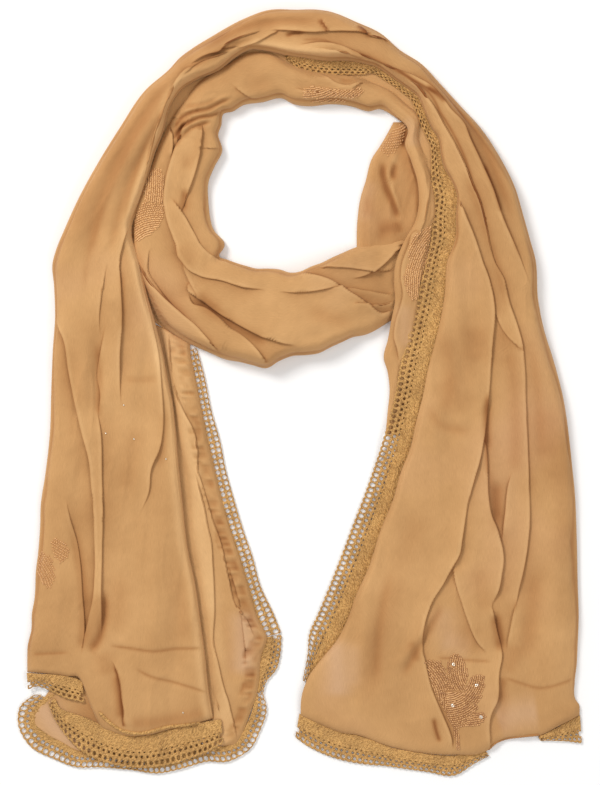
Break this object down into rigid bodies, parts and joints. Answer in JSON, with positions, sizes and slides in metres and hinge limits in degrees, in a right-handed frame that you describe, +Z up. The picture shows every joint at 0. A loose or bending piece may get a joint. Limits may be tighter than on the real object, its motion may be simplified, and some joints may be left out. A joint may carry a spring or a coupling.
{
  "type": "dupatta stole",
  "caption": "Sheer crepe dupatta stole wound into a neck loop and laid flat, gathered in long folds, both ends hanging, with a lace border and tone-on-tone embroidery.",
  "frame": {"origin": "on the surface that the stole lies on, below the middle of its bounding box", "axes": "+X from the left tail to the right tail, +Y from the hems to the crown of the neck loop, +Z up off the surface"},
  "size_m": [0.566, 0.768, 0.0323],
  "materials": {
    "crepe_cloth": "thin matt crepe, slightly sheer",
    "lace_border": "golden openwork lace"
  },
  "bodies": {
    "root": {"left_tail": "crepe_cloth", "crown": "crepe_cloth", "right_tail": "crepe_cloth", "front_wrap": "crepe_cloth", "inner_left": "crepe_cloth", "inner_crown": "crepe_cloth", "inner_right": "crepe_cloth", "back_drape": "crepe_cloth", "left_tail_inner_fall": "crepe_cloth", "left_hem_layer": "crepe_cloth", "lace_neck_and_right_side": "lace_border", "lace_left_side": "lace_border", "lace_left_corner": "lace_border", "lace_left_hem_back": "lace_border", "lace_left_hem_upper": "lace_border", "lace_left_hem_front": "lace_border", "lace_right_hem": "lace_border", "lace_right_corner": "lace_border"}
  },
  "joints": []
}
